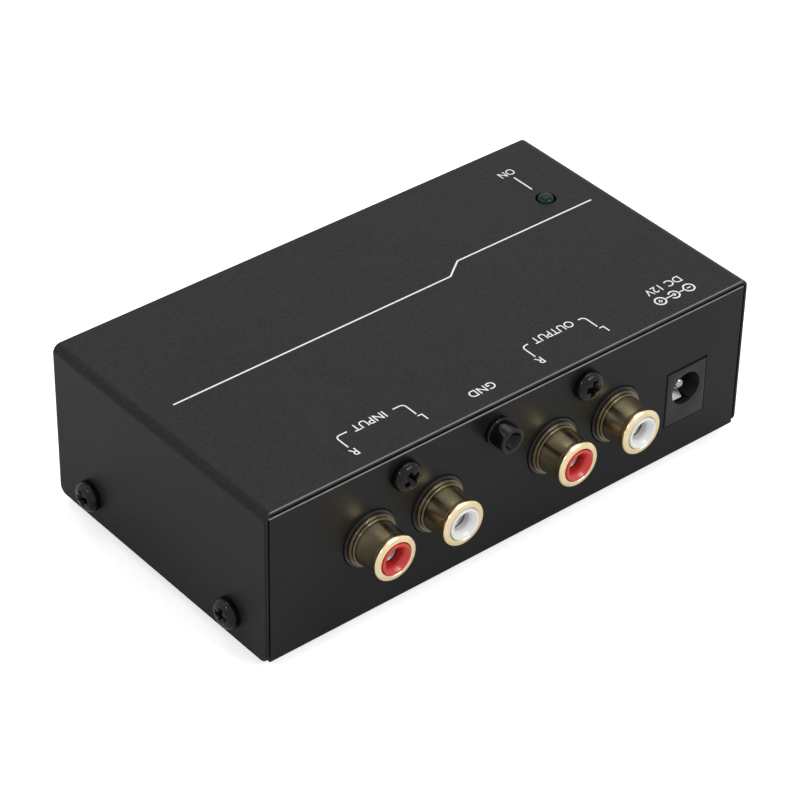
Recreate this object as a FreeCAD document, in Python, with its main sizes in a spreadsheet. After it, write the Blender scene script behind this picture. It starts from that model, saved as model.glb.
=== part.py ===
# Phono preamplifier in a small folded steel case, as an assembly of separate pieces.
#
# Case frame, in millimetres: X to the right seen from the front, Y towards the rear panel,
# Z up, with zero at the middle of the tray's underside. Each piece is drawn there and then
# placed by rowShiftY and footHeight, so the origin of the whole lies on the table, under the
# middle of the outline that the case and its sockets make together.

import FreeCAD, Part
import os
import re
import Sketcher

doc = FreeCAD.newDocument("PhonoPreamp")
sheet = doc.addObject("Spreadsheet::Sheet", "sizes")

drivingSizes = {
    # Case: an inverted U cover over a C-shaped tray, both folded from steel sheet
    "caseWidth": 104.0,
    "caseDepth": 57.3,
    "caseHeight": 30.6,
    "coverThickness": 0.6,
    "coverBendRadius": 1.0,
    "coverEdgeRounding": 0.25,
    "flapCornerRadius": 1.6,
    "trayThickness": 1.0,
    "trayBendRadius": 0.2,
    "trayFlangeDepth": 7.0,
    "trayTabLength": 46.0,
    "trayTabHeight": 11.0,
    "seamGap": 0.3,
    "topSeamGap": 0.6,
    # Feet: stick-on rubber discs
    "footRadius": 4.5,
    "footHeight": 2.0,
    "footRounding": 0.6,
    "footInsetX": 9.0,
    "footInsetY": 8.5,
    # M3 pan head screws with a cross recess
    "screwHeadRadius": 2.8,
    "screwHeadHeight": 2.2,
    "screwHeadRounding": 1.2,
    "screwShankRadius": 1.45,
    "screwRecessSpan": 3.3,
    "screwRecessWidth": 1.0,
    "screwRecessDepth": 1.4,
    "threadClearance": 0.05,
    "screwHoleClearance": 0.2,
    "coverScrewPoint": 0.9,
    "coverScrewPointGap": 0.3,
    "coverScrewSpread": 38.4,
    "coverScrewHeight": 5.0,
    "socketScrewLength": 7.0,
    "socketScrewDrop": 3.3,
    "boardScrewLength": 5.0,
    # Phono sockets: two twin blocks on the rear panel
    "inputPairX": 23.9,
    "outputPairX": -15.13,
    "socketPitch": 14.2,
    "socketHeight": 15.6,
    "socketHoleRadius": 5.5,
    "collarRadius": 5.3,
    "collarReach": 0.3,
    "blockWidth": 27.0,
    "blockDepth": 9.5,
    "blockShoulder": 15.5,
    "bossWidth": 9.0,
    "bossGap": 0.3,
    "shellClearance": 0.1,
    "flangeRadius": 4.85,
    "flangeThickness": 0.6,
    "stepRadius": 4.5,
    "stepThickness": 0.5,
    "tailRadius": 3.4,
    "tailOverhang": 0.8,
    "barrelRadius": 4.25,
    "waistRadius": 3.7,
    "waistReach": 4.4,
    "flareReach": 5.4,
    "flareRadius": 3.75,
    "rimStart": 6.0,
    "rimLength": 0.6,
    "rimRadius": 4.19,
    "rimFaceRadius": 3.85,
    "shellReach": 6.95,
    "shellBore": 3.05,
    "insertRadius": 2.9,
    "insertReach": 7.1,
    "insertTailGap": 0.5,
    "pinHoleRadius": 1.8,
    "pinHoleLength": 1.3,
    "coneDepth": 0.9,
    "coneRadius": 2.35,
    "contactRadius": 2.1,
    "contactBore": 1.6,
    "contactGap": 0.3,
    "contactOverhang": 2.1,
    "solderTabThickness": 0.5,
    "solderTabWidth": 1.6,
    "solderTabReach": 0.8,
    "slotClearance": 0.25,
    # Ground terminal: a threaded post clinched into the rear panel
    "postX": 4.4,
    "postDrop": 3.6,
    "postRadius": 2.4,
    "postReach": 4.0,
    "postChamfer": 0.2,
    "postCollarRadius": 2.65,
    "postCollarReach": 1.0,
    "postHoleClearance": 0.1,
    "postHeadRadius": 3.2,
    "postHeadThickness": 1.0,
    "postStubLength": 5.0,
    "postThreadRadius": 1.25,
    "postThreadDepth": 3.9,
    "lugThreadDepth": 3.0,
    "lugThickness": 0.5,
    "lugRadius": 3.1,
    "lugTailWidth": 2.2,
    "lugTailLength": 4.0,
    "lugScrewLength": 2.5,
    "wireRadius": 0.6,
    # Power socket: a 2.1 mm coaxial jack
    "jackInset": 13.15,
    "jackWidth": 9.0,
    "jackHeight": 11.0,
    "jackDepth": 14.0,
    "jackRecess": 0.3,
    "jackCutoutWidth": 9.44,
    "jackCutoutLow": 6.7,
    "jackCutoutHigh": 18.3,
    "jackBoreRadius": 3.175,
    "jackBoreHeight": 13.4,
    "jackBoreDepth": 9.5,
    "jackPinRadius": 1.0,
    "jackPinShankRadius": 1.25,
    "jackPinSetback": 1.0,
    "jackPinRounding": 0.5,
    "jackPinClearance": 0.05,
    "jackPinOverhang": 0.9,
    "jackSlotWidth": 2.6,
    "jackSlotFloor": 1.0,
    "jackSlotMouth": 0.8,
    "jackSlotBackWall": 0.6,
    "leafWidth": 2.0,
    "leafThickness": 0.35,
    "leafRootRise": 0.7,
    "leafPeakDrop": 2.25,
    "leafPeakSetback": 3.0,
    "leafTipDrop": 3.3,
    "leafTipSetback": 1.4,
    "leafRootGap": 0.3,
    # Circuit board on four standoffs
    "standoffHeight": 4.3,
    "standoffRadius": 2.75,
    "boardThickness": 1.6,
    "boardRearGap": 0.5,
    "boardFrontGap": 1.5,
    "standoffInset": 5.0,
    "standoffFrontY": -21.5,
    "standoffRearY": 8.0,
    # Components of the two channels
    "channelOffset": 17.0,
    "pairSpread": 12.0,
    "electrolyticRadius": 3.15,
    "electrolyticHeight": 11.0,
    "electrolyticRounding": 0.5,
    "electrolyticRowY": -10.0,
    "filmLength": 7.2,
    "filmWidth": 2.6,
    "filmHeight": 7.0,
    "filmRowY": 10.0,
    "opAmpLength": 9.4,
    "opAmpWidth": 6.4,
    "opAmpHeight": 3.3,
    "opAmpStandoff": 0.5,
    "opAmpRowY": 0.0,
    "legPitch": 2.54,
    "legWidth": 0.5,
    "legThickness": 0.3,
    "legShoulder": 2.0,
    "resistorRadius": 1.15,
    "resistorLength": 6.2,
    "resistorSpan": 9.4,
    "resistorRise": 0.2,
    "resistorLeadRadius": 0.3,
    "leadFootRadius": 0.25,
    "resistorPitch": 3.4,
    "resistorRowY": -19.0,
    # Power supply parts
    "supplyX": -33.8,
    "regulatorY": 4.5,
    "regulatorWidth": 10.0,
    "regulatorThickness": 4.4,
    "regulatorHeight": 9.0,
    "regulatorLegLength": 3.0,
    "regulatorTabHeight": 15.6,
    "regulatorTabThickness": 1.3,
    "regulatorTabHole": 1.8,
    "bulkCapacitorY": -3.6,
    "diodeY": -12.5,
    # Power lamp: a 3 mm light-emitting diode on a spacer tube
    "lampInset": 10.7,
    "lampY": -11.3,
    "lampHoleRadius": 1.9,
    "lampRadius": 1.6,
    "lampRise": 0.75,
    "lampDomeRounding": 1.28,
    "lampLength": 4.6,
    "lampFlangeRadius": 2.1,
    "lampFlangeHeight": 1.0,
    "lampLeadRadius": 0.25,
    "lampLeadPitch": 2.2,
    "spacerRadius": 2.3,
    "spacerBore": 1.6,
}

for row, (name, value) in enumerate(drivingSizes.items(), start=1):
    sheet.set(f"A{row}", name)
    sheet.set(f"B{row}", str(value))
    sheet.setAlias(f"B{row}", name)
doc.recompute()

# Places and sizes that follow from the driving ones
derivedSizes = {
    "rowShiftY": "-insertReach / 2",
    "rearFace": "caseDepth / 2",
    "panelInside": "rearFace - trayThickness",
    "trayEnd": "caseWidth / 2 - coverThickness - seamGap",
    "trayTop": "caseHeight - coverThickness - topSeamGap",
    "flangeUnderside": "trayTop - trayThickness",
    "boardUnderside": "trayThickness + standoffHeight",
    "boardTop": "boardUnderside + boardThickness",
    "coverScrewLength": "coverThickness + seamGap + trayThickness + coverScrewPoint",
    "boardHalfWidth": "trayEnd - trayThickness - coverScrewPoint - coverScrewPointGap",
    "boardRear": "panelInside - boardRearGap",
    "standoffX": "boardHalfWidth - standoffInset",
    "socketScrewHeight": "flangeUnderside - socketScrewDrop",
    "postHeight": "flangeUnderside - postDrop",
    "jackX": "jackInset - caseWidth / 2",
    "lampX": "lampInset - caseWidth / 2",
    "boardFront": "-(panelInside - boardFrontGap)",
    "tappedRadius": "screwShankRadius + threadClearance",
    "clearRadius": "screwShankRadius + screwHoleClearance",
    "blockRear": "panelInside - blockDepth",
    "blockRearReach": "-(trayThickness + blockDepth)",
    "tailEndReach": "blockRearReach - tailOverhang",
    "contactEndReach": "blockRearReach - contactOverhang",
    "flangeFront": "collarReach + flangeThickness",
    "stepFront": "flangeFront + stepThickness",
    "pinHoleBack": "insertReach - coneDepth - pinHoleLength",
    "solderTabEnd": "socketHeight - boardUnderside + solderTabReach",
    "lugReach": "-(trayThickness + postHeadThickness + postStubLength)",
    "lugTailEnd": "lugRadius + lugTailLength",
    "lugWireY": "rearFace + lugReach - lugThickness / 2",
    "jackFront": "rearFace - jackRecess",
    "jackRear": "jackFront - jackDepth",
    "jackSlotRear": "jackRear + jackSlotBackWall",
    "jackSlotLow": "boardTop + jackSlotFloor",
    "terminalFront": "jackSlotRear + solderTabThickness + slotClearance",
    "leafRootY": "terminalFront + leafRootGap",
    "leafRootHeight": "jackSlotLow + leafRootRise",
    "lampBase": "caseHeight + lampRise - lampLength",
    "opAmpLow": "boardTop + opAmpStandoff",
}

towardsRear = FreeCAD.Rotation(FreeCAD.Vector(1, 0, 0), -90)
towardsFront = FreeCAD.Rotation(FreeCAD.Vector(1, 0, 0), 90)
towardsRight = FreeCAD.Rotation(FreeCAD.Vector(0, 1, 0), 90)
towardsLeft = FreeCAD.Rotation(FreeCAD.Vector(0, 1, 0), -90)
upright = FreeCAD.Rotation()

parts = []


# Turns a text such as "caseWidth / 2" into one that reads the sheet's cells
def expression(text):
    def readCell(match):
        name = match.group(0)
        if name in drivingSizes:
            return "sizes." + name
        if name in derivedSizes:
            return "(" + expression(derivedSizes[name]) + ")"
        return name

    return re.sub(r"[A-Za-z_]\w*", readCell, str(text))


def number(text):
    return float(sheet.evalExpression(expression(text)))


def bind(item, **texts):
    for key, text in texts.items():
        item.setExpression(key, expression(text))


def moveTo(item, x, y, z):
    for axis, text in zip("xyz", (x, y, z)):
        item.setExpression("Placement.Base." + axis, expression(text))


# Places a finished piece, given in the case frame, in the frame of the whole
def settle(item, x="0", y="0", z="0", turn=upright):
    item.Placement = FreeCAD.Placement(FreeCAD.Vector(), turn)
    moveTo(item, x, f"{y} + rowShiftY", f"{z} + footHeight")
    parts.append(item)
    return item


def newBody(name):
    body = doc.addObject("PartDesign::Body", name)
    body.Label = name
    return body


def addBox(body, low, size, cut=False):
    kind = "PartDesign::SubtractiveBox" if cut else "PartDesign::AdditiveBox"
    box = body.newObject(kind, "Block")
    bind(box, Length=size[0], Width=size[1], Height=size[2])
    moveTo(box, *low)
    return box


def addRound(body, base, radius, length, turn=upright, cut=False):
    kind = "PartDesign::SubtractiveCylinder" if cut else "PartDesign::AdditiveCylinder"
    rod = body.newObject(kind, "Round")
    rod.Placement = FreeCAD.Placement(FreeCAD.Vector(), turn)
    bind(rod, Radius=radius, Height=length)
    moveTo(rod, *base)
    return rod


# A closed outline in one of the body's own planes, each corner tied to two expressions
def addOutline(body, plane, corners):
    sketch = body.newObject("Sketcher::SketchObject", "Outline")
    support = [item for item in body.Origin.OriginFeatures if item.Role == plane]
    sketch.AttachmentSupport = [(support[0], "")]
    sketch.MapMode = "FlatFace"
    points = [FreeCAD.Vector(number(across), number(along), 0) for across, along in corners]
    for index, point in enumerate(points):
        following = points[(index + 1) % len(points)]
        sketch.addGeometry(Part.LineSegment(point, following), False)
    for index in range(len(points)):
        following = (index + 1) % len(points)
        sketch.addConstraint(Sketcher.Constraint("Coincident", index, 2, following, 1))
    for index, (point, corner) in enumerate(zip(points, corners)):
        for kind, value, text in (("DistanceX", point.x, corner[0]), ("DistanceY", point.y, corner[1])):
            if str(text) == "0":
                axis = -2 if kind == "DistanceX" else -1
                sketch.addConstraint(Sketcher.Constraint("PointOnObject", index, 1, axis))
                continue
            place = sketch.addConstraint(Sketcher.Constraint(kind, -1, 1, index, 1, value))
            sketch.setExpression(f"Constraints[{place}]", expression(text))
    return sketch


# A pad that reaches equally far to both sides of its plane
def addPad(body, plane, corners, length):
    pad = body.newObject("PartDesign::Pad", "Pad")
    pad.Profile = addOutline(body, plane, corners)
    pad.Midplane = True
    bind(pad, Length=length)
    return pad


# A turned shape: corners are (radius, height) pairs, spun about the body's own Z axis
def addTurned(body, corners):
    spin = body.newObject("PartDesign::Revolution", "Turned")
    outline = addOutline(body, "XZ_Plane", corners)
    spin.Profile = outline
    spin.ReferenceAxis = (outline, ["V_Axis"])
    spin.Angle = 360
    return spin


# Rounds the edges of the body's last feature for which the test holds
def roundEdges(body, radius, wanted):
    doc.recompute()
    last = body.Tip
    names = [f"Edge{place}" for place, edge in enumerate(last.Shape.Edges, start=1) if wanted(edge)]
    rounding = body.newObject("PartDesign::Fillet", "Rounding")
    rounding.Base = (last, names)
    bind(rounding, Radius=radius)
    return rounding


def near(first, second):
    return abs(first - second) < 1e-4


def spanOf(edge):
    return edge.BoundBox.XLength, edge.BoundBox.YLength, edge.BoundBox.ZLength


# Picks round edges by radius and by height along the body's own Z axis
def roundEdgeAt(radius, height):
    def wanted(edge):
        if not isinstance(edge.Curve, Part.Circle):
            return False
        return near(edge.Curve.Radius, number(radius)) and near(edge.Curve.Center.z, number(height))

    return wanted


def group(name, members):
    compound = doc.addObject("Part::Compound", name)
    compound.Label = name
    compound.Links = members
    return settle(compound)


# Cover: top and two end flaps in one folded sheet
def makeTopCover():
    body = newBody("top_cover")
    half = "caseWidth / 2"
    inside = "caseWidth / 2 - coverThickness"
    under = "caseHeight - coverThickness"
    corners = [
        (f"-({half})", "0"),
        (f"-({inside})", "0"),
        (f"-({inside})", under),
        (inside, under),
        (inside, "0"),
        (half, "0"),
        (half, "caseHeight"),
        (f"-({half})", "caseHeight"),
    ]
    addPad(body, "XZ_Plane", corners, "caseDepth")

    def isFold(edge, x, z):
        middle = edge.CenterOfMass
        return near(spanOf(edge)[1], number("caseDepth")) and near(abs(middle.x), x) and near(middle.z, z)

    roundEdges(body, "coverBendRadius + coverThickness",
               lambda edge: isFold(edge, number(half), number("caseHeight")))
    roundEdges(body, "coverBendRadius", lambda edge: isFold(edge, number(inside), number(under)))

    def isFlapCorner(edge):
        middle = edge.CenterOfMass
        return near(spanOf(edge)[0], number("coverThickness")) and near(middle.z, 0)

    roundEdges(body, "flapCornerRadius", isFlapCorner)

    def isOuterRim(edge):
        middle = edge.CenterOfMass
        onEnd = near(abs(middle.y), number("rearFace")) and near(spanOf(edge)[1], 0)
        outside = abs(middle.x) > number(inside) + number("coverThickness") / 2 or near(
            middle.z, number("caseHeight"))
        return onEnd and outside and spanOf(edge)[2] + spanOf(edge)[0] > number("caseHeight") / 2

    roundEdges(body, "coverEdgeRounding", isOuterRim)
    addRound(body, ("lampX", "lampY", f"{under} - 1"), "lampHoleRadius", "coverThickness + 2", cut=True)
    for side in (-1, 1):
        base = (f"-({half}) - 1", f"{side} * coverScrewSpread / 2", "coverScrewHeight")
        addRound(body, base, "clearRadius", "caseWidth + 2", towardsRight, cut=True)
    return settle(body)


# Tray: floor, front and rear panels with top flanges, and an upturned tab at each end
def makeChassisTray():
    body = newBody("chassis_tray")
    flange = "rearFace - trayFlangeDepth"
    corners = [
        ("-rearFace", "0"),
        ("rearFace", "0"),
        ("rearFace", "trayTop"),
        (flange, "trayTop"),
        (flange, "flangeUnderside"),
        ("panelInside", "flangeUnderside"),
        ("panelInside", "trayThickness"),
        ("-panelInside", "trayThickness"),
        ("-panelInside", "flangeUnderside"),
        (f"-({flange})", "flangeUnderside"),
        (f"-({flange})", "trayTop"),
        ("-rearFace", "trayTop"),
    ]
    addPad(body, "YZ_Plane", corners, "2 * trayEnd")

    def isBend(edge, y, low, high):
        middle = edge.CenterOfMass
        return near(abs(middle.y), y) and (near(middle.z, low) or near(middle.z, high))

    roundEdges(body, "trayBendRadius + trayThickness",
               lambda edge: isBend(edge, number("rearFace"), 0, number("trayTop")))
    roundEdges(body, "trayBendRadius",
               lambda edge: isBend(edge, number("panelInside"), number("trayThickness"),
                                   number("flangeUnderside")))
    for side, start in ((1, "trayEnd - trayThickness"), (-1, "-trayEnd")):
        addBox(body, (start, "-trayTabLength / 2", "0"), ("trayThickness", "trayTabLength", "trayTabHeight"))
    for side in (-1, 1):
        base = ("-trayEnd - 1", f"{side} * coverScrewSpread / 2", "coverScrewHeight")
        addRound(body, base, "tappedRadius", "2 * trayEnd + 2", towardsRight, cut=True)
    through = "trayThickness + 2"
    for pairX in ("inputPairX", "outputPairX"):
        for side in (-1, 1):
            base = (f"{pairX} + {side} * socketPitch / 2", "panelInside - 1", "socketHeight")
            addRound(body, base, "socketHoleRadius", through, towardsRear, cut=True)
        base = (pairX, "panelInside - 1", "socketScrewHeight")
        addRound(body, base, "clearRadius", through, towardsRear, cut=True)
    addRound(body, ("postX", "panelInside - 1", "postHeight"), "postRadius + postHoleClearance", through,
             towardsRear, cut=True)
    addBox(body, ("jackX - jackCutoutWidth / 2", "panelInside - 1", "jackCutoutLow"),
           ("jackCutoutWidth", through, "jackCutoutHigh - jackCutoutLow"), cut=True)
    return settle(body)


def makeRubberFeet():
    feet = []
    for sideX in (-1, 1):
        for sideY in (-1, 1):
            foot = newBody("foot")
            addRound(foot, ("0", "0", "-footHeight"), "footRadius", "footHeight")
            roundEdges(foot, "footRounding", roundEdgeAt("footRadius", "-footHeight"))
            moveTo(foot, f"{sideX} * (caseWidth / 2 - footInsetX)", f"{sideY} * (caseDepth / 2 - footInsetY)",
                   "0")
            feet.append(foot)
    return group("rubber_feet", feet)


# A pan head screw: its head stands on local zero, and the shank points down from there
def newScrew(length, place, aim, spin):
    screw = newBody("screw")
    corners = [
        ("0", f"-({length})"),
        ("screwShankRadius", f"-({length})"),
        ("screwShankRadius", "0"),
        ("screwHeadRadius", "0"),
        ("screwHeadRadius", "screwHeadHeight"),
        ("0", "screwHeadHeight"),
    ]
    addTurned(screw, corners)
    roundEdges(screw, "screwHeadRounding", roundEdgeAt("screwHeadRadius", "screwHeadHeight"))
    bottom = "screwHeadHeight - screwRecessDepth"
    depth = "screwRecessDepth + 1"
    addBox(screw, ("-screwRecessSpan / 2", "-screwRecessWidth / 2", bottom),
           ("screwRecessSpan", "screwRecessWidth", depth), cut=True)
    addBox(screw, ("-screwRecessWidth / 2", "-screwRecessSpan / 2", bottom),
           ("screwRecessWidth", "screwRecessSpan", depth), cut=True)
    twist = FreeCAD.Rotation(FreeCAD.Vector(0, 0, 1), spin)
    screw.Placement = FreeCAD.Placement(FreeCAD.Vector(), aim.multiply(twist))
    moveTo(screw, *place)
    return screw


def makeCoverScrews():
    screws = []
    spins = iter((14, -3, 31, 9))
    for start, aim in (("caseWidth / 2", towardsRight), ("-caseWidth / 2", towardsLeft)):
        for side in (-1, 1):
            place = (start, f"{side} * coverScrewSpread / 2", "coverScrewHeight")
            screws.append(newScrew("coverScrewLength", place, aim, next(spins)))
    return group("cover_screws", screws)


def makeSocketScrews():
    screws = []
    for pairX, spin in (("inputPairX", 24), ("outputPairX", -12)):
        place = (pairX, "rearFace", "socketScrewHeight")
        screws.append(newScrew("socketScrewLength", place, towardsRear, spin))
    return group("socket_screws", screws)


def makeBoardStandoffs():
    standoffs = []
    for side in (-1, 1):
        for y in ("standoffFrontY", "standoffRearY"):
            standoff = newBody("standoff")
            addRound(standoff, ("0", "0", "0"), "standoffRadius", "standoffHeight")
            addRound(standoff, ("0", "0", "-1"), "tappedRadius", "standoffHeight + 2", cut=True)
            moveTo(standoff, f"{side} * standoffX", y, "trayThickness")
            standoffs.append(standoff)
    return group("board_standoffs", standoffs)


def makeBoardScrews():
    screws = []
    spins = iter((20, 64, 5, 41))
    for side in (-1, 1):
        for y in ("standoffFrontY", "standoffRearY"):
            place = (f"{side} * standoffX", y, "boardTop")
            screws.append(newScrew("boardScrewLength", place, upright, next(spins)))
    return group("board_screws", screws)


# Circuit board, with clearance for its screws and slots for the soldered tabs
def makeMainBoard():
    body = newBody("main_board")
    addBox(body, ("-boardHalfWidth", "boardFront", "boardUnderside"),
           ("2 * boardHalfWidth", "boardRear - boardFront", "boardThickness"))
    low = "boardUnderside - 1"
    through = "boardThickness + 2"
    for side in (-1, 1):
        for y in ("standoffFrontY", "standoffRearY"):
            addRound(body, (f"{side} * standoffX", y, low), "clearRadius", through, cut=True)
    width = "solderTabWidth + 2 * slotClearance"
    length = "solderTabThickness + 2 * slotClearance"
    for pairX in ("inputPairX", "outputPairX"):
        for side in (-1, 1):
            start = f"{pairX} + {side} * socketPitch / 2 - solderTabWidth / 2 - slotClearance"
            for end in ("tailEndReach", "contactEndReach"):
                addBox(body, (start, f"rearFace + {end} - slotClearance", low), (width, length, through),
                       cut=True)
    start = "jackX - solderTabWidth / 2 - slotClearance"
    for y in ("jackRear - jackPinOverhang", "jackSlotRear"):
        addBox(body, (start, f"{y} - slotClearance", low), (width, length, through), cut=True)
    return settle(body)


# Twin phono socket block: housing, screw boss and the two collars that fill the panel's holes
def makeSocketBlock(name, pairX):
    body = newBody(name)
    addBox(body, ("-blockWidth / 2", "blockRear", "boardTop"), ("blockWidth", "blockDepth", "blockShoulder"))
    addBox(body, ("-bossWidth / 2", "blockRear", "boardTop"),
           ("bossWidth", "blockDepth", "flangeUnderside - bossGap - boardTop"))
    for side in (-1, 1):
        x = f"{side} * socketPitch / 2"
        addRound(body, (x, "panelInside - 1", "socketHeight"), "collarRadius",
                 "trayThickness + collarReach + 1", towardsRear)
        addRound(body, (x, "blockRear - 1", "socketHeight"), "tailRadius + shellClearance",
                 "blockDepth + trayThickness + collarReach + 2", towardsRear, cut=True)
    addRound(body, ("0", "rearFace - socketScrewLength - 1", "socketScrewHeight"), "tappedRadius",
             "socketScrewLength + 1", towardsRear, cut=True)
    return settle(body, x=pairX)


# A tab that runs from a turned piece's rear end down through the board.
# In a piece turned to face the rear, local Y points down and local Z points to the rear.
def addSolderTab(body, start, end):
    addBox(body, ("-solderTabWidth / 2", start, end),
           ("solderTabWidth", f"solderTabEnd - ({start})", "solderTabThickness"))


# Outer contact: flange, step, waisted barrel and flared rim, with a tail through the block
def makeSocketShell(name, x):
    body = newBody(name)
    corners = [
        ("shellBore", "tailEndReach"),
        ("tailRadius", "tailEndReach"),
        ("tailRadius", "collarReach"),
        ("flangeRadius", "collarReach"),
        ("flangeRadius", "flangeFront"),
        ("stepRadius", "flangeFront"),
        ("stepRadius", "stepFront"),
        ("barrelRadius", "stepFront"),
        ("waistRadius", "waistReach"),
        ("flareRadius", "flareReach"),
        ("rimRadius", "rimStart"),
        ("rimRadius", "rimStart + rimLength"),
        ("rimFaceRadius", "shellReach"),
        ("shellBore", "shellReach"),
    ]
    addTurned(body, corners)
    addSolderTab(body, "(shellBore + tailRadius) / 2", "tailEndReach")
    return settle(body, x, "rearFace", "socketHeight", towardsRear)


# Coloured insulator: a sleeve whose front closes to the pin's hole through a shallow cone
def makeSocketInsert(name, x):
    body = newBody(name)
    rearBore = "contactRadius + shellClearance"
    rearEnd = "blockRearReach + insertTailGap"
    corners = [
        (rearBore, rearEnd),
        ("insertRadius", rearEnd),
        ("insertRadius", "insertReach"),
        ("coneRadius", "insertReach"),
        ("pinHoleRadius", "insertReach - coneDepth"),
        ("pinHoleRadius", "pinHoleBack"),
        (rearBore, "pinHoleBack"),
    ]
    addTurned(body, corners)
    return settle(body, x, "rearFace", "socketHeight", towardsRear)


# Centre contact: a sleeve for the plug's pin, with its tab behind the shell's
def makeSocketContact(name, x):
    body = newBody(name)
    corners = [
        ("contactBore", "contactEndReach"),
        ("contactRadius", "contactEndReach"),
        ("contactRadius", "pinHoleBack - contactGap"),
        ("contactBore", "pinHoleBack - contactGap"),
    ]
    addTurned(body, corners)
    addSolderTab(body, "(contactBore + contactRadius) / 2", "contactEndReach")
    return settle(body, x, "rearFace", "socketHeight", towardsRear)


def makeGroundPost():
    body = newBody("ground_post")
    corners = [
        ("0", "lugReach + lugThreadDepth"),
        ("tappedRadius", "lugReach + lugThreadDepth"),
        ("tappedRadius", "lugReach"),
        ("postRadius", "lugReach"),
        ("postRadius", "-trayThickness - postHeadThickness"),
        ("postHeadRadius", "-trayThickness - postHeadThickness"),
        ("postHeadRadius", "-trayThickness"),
        ("postRadius", "-trayThickness"),
        ("postRadius", "0"),
        ("postCollarRadius", "0"),
        ("postCollarRadius", "postCollarReach"),
        ("postRadius", "postCollarReach"),
        ("postRadius", "postReach - postChamfer"),
        ("postRadius - postChamfer", "postReach"),
        ("postThreadRadius + postChamfer", "postReach"),
        ("postThreadRadius", "postReach - postChamfer"),
        ("postThreadRadius", "postReach - postThreadDepth"),
        ("0", "postReach - postThreadDepth"),
    ]
    addTurned(body, corners)
    return settle(body, "postX", "rearFace", "postHeight", towardsRear)


# Ring terminal on the inner end of the post, with its crimped tail pointing down
def makeGroundLug():
    body = newBody("ground_lug")
    addRound(body, ("0", "0", "lugReach - lugThickness"), "lugRadius", "lugThickness")
    addBox(body, ("-lugTailWidth / 2", "0", "lugReach - lugThickness"),
           ("lugTailWidth", "lugTailEnd", "lugThickness"))
    addRound(body, ("0", "0", "lugReach - lugThickness - 1"), "clearRadius", "lugThickness + 2", cut=True)
    return settle(body, "postX", "rearFace", "postHeight", towardsRear)


def makeGroundLugScrew():
    place = ("postX", "rearFace + lugReach - lugThickness", "postHeight")
    screw = newScrew("lugScrewLength", place, towardsFront, 17)
    return group("ground_lug_screw", [screw])


def makeGroundWire():
    body = newBody("ground_wire")
    addRound(body, ("0", "0", "boardTop"), "wireRadius", "postHeight - lugTailEnd - boardTop")
    return settle(body, "postX", "lugWireY", "0")


# Power socket housing: plug bore with a wall behind it, and a slot below for the sprung leaf
def makeJackBody():
    body = newBody("dc_jack_body")
    addBox(body, ("-jackWidth / 2", "jackRear", "boardTop"), ("jackWidth", "jackDepth", "jackHeight"))
    addRound(body, ("0", "jackFront - jackBoreDepth", "jackBoreHeight"), "jackBoreRadius",
             "jackBoreDepth + 1", towardsRear, cut=True)
    addRound(body, ("0", "jackRear - 1", "jackBoreHeight"), "jackPinShankRadius + jackPinClearance",
             "jackDepth - jackBoreDepth + 2", towardsRear, cut=True)
    slotTop = "jackBoreHeight - jackBoreRadius / 2"
    addBox(body, ("-jackSlotWidth / 2", "jackSlotRear", "jackSlotLow"),
           ("jackSlotWidth", "jackFront - jackSlotMouth - jackSlotRear", f"{slotTop} - jackSlotLow"),
           cut=True)
    addBox(body, ("-solderTabWidth / 2 - slotClearance", "jackSlotRear", "boardTop - 1"),
           ("solderTabWidth + 2 * slotClearance", "solderTabThickness + slotClearance", "jackSlotFloor + 2"),
           cut=True)
    return settle(body, x="jackX")


def makeJackPin():
    body = newBody("dc_centre_pin")
    start = "jackRear - jackPinOverhang"
    addRound(body, ("0", start, "jackBoreHeight"), "jackPinShankRadius",
             f"jackFront - jackBoreDepth - ({start})", towardsRear)
    addRound(body, ("0", start, "jackBoreHeight"), "jackPinRadius",
             f"jackFront - jackPinSetback - ({start})", towardsRear)
    addBox(body, ("-solderTabWidth / 2", start, "boardUnderside - solderTabReach"),
           ("solderTabWidth", "solderTabThickness",
            "jackBoreHeight - boardUnderside + solderTabReach"))
    roundEdges(body, "jackPinRounding",
               lambda edge: isinstance(edge.Curve, Part.Circle)
               and near(edge.CenterOfMass.y, number("jackFront - jackPinSetback")))
    return settle(body, x="jackX")


# Sprung leaf under the plug bore. It bears on the plug's sleeve and turns about its root.
def makeSpringContact():
    body = newBody("dc_spring_contact")
    rootTop = "leafRootHeight + leafThickness / 2"
    rootLow = "leafRootHeight - leafThickness / 2"
    peakY = "jackFront - leafPeakSetback"
    peakTop = "jackBoreHeight - leafPeakDrop"
    tipY = "jackFront - leafTipSetback"
    tipTop = "jackBoreHeight - leafTipDrop"
    corners = [
        ("leafRootY", rootLow),
        (f"{peakY}", f"{peakTop} - leafThickness"),
        (f"{tipY} - leafThickness", f"{tipTop} - leafThickness"),
        (tipY, tipTop),
        (f"{peakY} + leafThickness", peakTop),
        (f"{peakY} - leafThickness", peakTop),
        ("leafRootY", rootTop),
    ]
    addPad(body, "YZ_Plane", corners, "leafWidth")
    return settle(body, x="jackX")


# Fixed tab that carries the leaf's root and is soldered to the board
def makeLeafTerminal():
    body = newBody("dc_leaf_terminal")
    low = "boardUnderside - solderTabReach"
    addBox(body, ("-solderTabWidth / 2", "jackSlotRear + slotClearance / 2", low),
           ("solderTabWidth", "solderTabThickness", f"leafRootHeight + leafThickness - ({low})"))
    return settle(body, x="jackX")


def newCapacitor(x, y):
    body = newBody("electrolytic")
    addRound(body, ("0", "0", "0"), "electrolyticRadius", "electrolyticHeight")
    roundEdges(body, "electrolyticRounding", roundEdgeAt("electrolyticRadius", "electrolyticHeight"))
    moveTo(body, x, y, "boardTop")
    return body


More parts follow.
